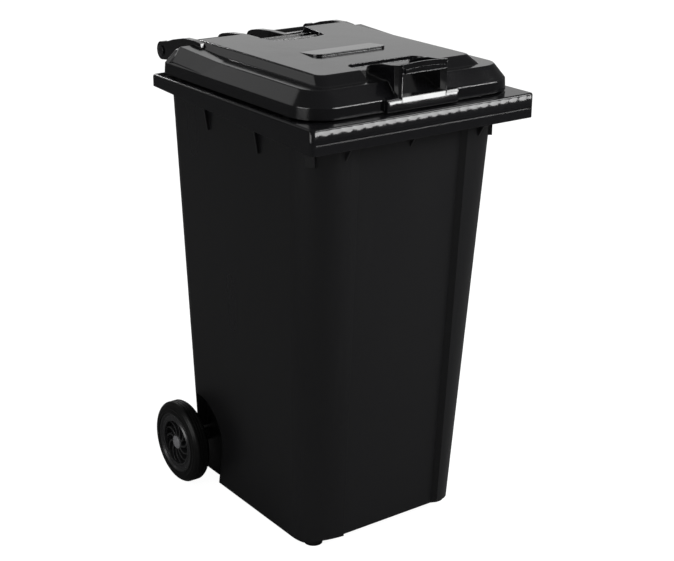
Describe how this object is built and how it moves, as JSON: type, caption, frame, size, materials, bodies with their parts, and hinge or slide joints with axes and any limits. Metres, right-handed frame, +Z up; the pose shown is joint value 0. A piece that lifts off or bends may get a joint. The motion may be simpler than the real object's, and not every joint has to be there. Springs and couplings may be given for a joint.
{
  "type": "wheelie bin",
  "caption": "Tall tapered plastic refuse bin with a two-tier hinged lid, a front loop grip, rear grip bars and a pair of small spoked wheels on a steel axle.",
  "frame": {"origin": "on the floor under the middle of the bin", "axes": "+Z up, front of the bin faces -Y, +X to the right seen from the front"},
  "size_m": [0.58, 0.7359, 1.104],
  "materials": {
    "tub_hdpe": "injection-moulded, satin",
    "lid_hdpe": "injection-moulded, glossy",
    "hub_pp": "injection-moulded, satin",
    "tyre_rubber": "moulded rubber",
    "cap_plastic": "moulded, glossy",
    "pin_plastic": "moulded",
    "spacer_pp": "moulded",
    "bush_nylon": "natural nylon",
    "axle_steel": "zinc-plated bright bar",
    "zinc_steel": "zinc-plated"
  },
  "bodies": {
    "tub": {"tub": "tub_hdpe", "axle": "axle_steel", "axle_spacer_left": "spacer_pp", "axle_washer_left": "zinc_steel", "axle_retainer_left": "zinc_steel", "hinge_pin_outer_left": "pin_plastic", "hinge_pin_inner_left": "pin_plastic", "axle_spacer_right": "spacer_pp", "axle_washer_right": "zinc_steel", "axle_retainer_right": "zinc_steel", "hinge_pin_outer_right": "pin_plastic", "hinge_pin_inner_right": "pin_plastic"},
    "lid": {"lid": "lid_hdpe"},
    "wheel_left": {"tyre_left": "tyre_rubber", "wheel_hub_left": "hub_pp", "wheel_bush_left": "bush_nylon", "hub_cap_left": "cap_plastic"},
    "wheel_right": {"tyre_right": "tyre_rubber", "wheel_hub_right": "hub_pp", "wheel_bush_right": "bush_nylon", "hub_cap_right": "cap_plastic"}
  },
  "joints": [
    {"name": "lid_hinge", "type": "hinge", "parent": "tub", "child": "lid", "pos_m": [0, 0.347, 1.033], "axis": [-1, 0, 0], "range_deg": [0, 270]},
    {"name": "wheel_left_spin", "type": "hinge", "parent": "tub", "child": "wheel_left", "pos_m": [-0.26, 0.219, 0.1], "axis": [1, 0, 0], "continuous": true},
    {"name": "wheel_right_spin", "type": "hinge", "parent": "tub", "child": "wheel_right", "pos_m": [0.26, 0.219, 0.1], "axis": [1, 0, 0], "continuous": true}
  ]
}
